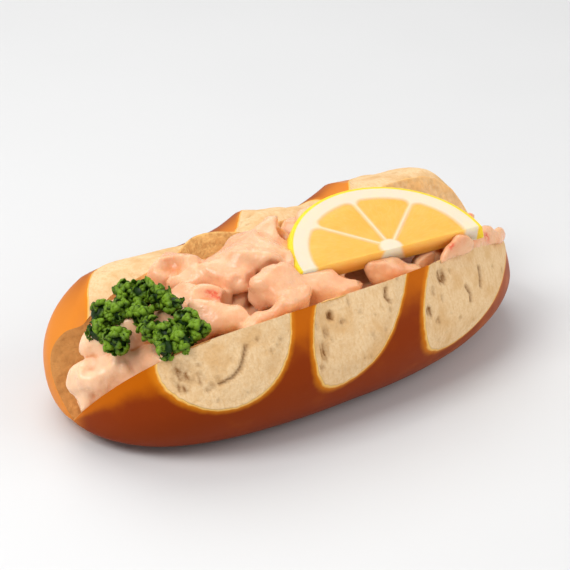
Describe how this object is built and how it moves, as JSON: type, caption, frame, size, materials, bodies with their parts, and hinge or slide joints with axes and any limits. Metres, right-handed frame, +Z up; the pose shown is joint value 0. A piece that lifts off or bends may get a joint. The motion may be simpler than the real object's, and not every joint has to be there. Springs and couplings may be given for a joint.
{
  "type": "shrimp pretzel sandwich",
  "caption": "Long pretzel roll split along its top and filled with creamy shrimp salad, with a half slice of lemon and a sprig of curly parsley on the filling.",
  "frame": {"origin": "centre of the bounding box on the surface that the roll rests on", "axes": "+X along the roll, from its blunt left end to its right end; -Y towards the opened front flap; +Z up"},
  "size_m": [0.17, 0.0891, 0.0548],
  "materials": {
    "pretzel_crust": "glossy brown lye crust with pale torn crumb where it was scored and cut",
    "shrimp_in_sauce": "moist, smooth and creamy",
    "lemon": "wet translucent flesh with white pith and yellow rind",
    "parsley_leaf": "satin, ruffled leaf"
  },
  "bodies": {
    "root": {"roll": "pretzel_crust", "shrimp_salad": "shrimp_in_sauce", "lemon_slice": "lemon", "parsley": "parsley_leaf"}
  },
  "joints": []
}
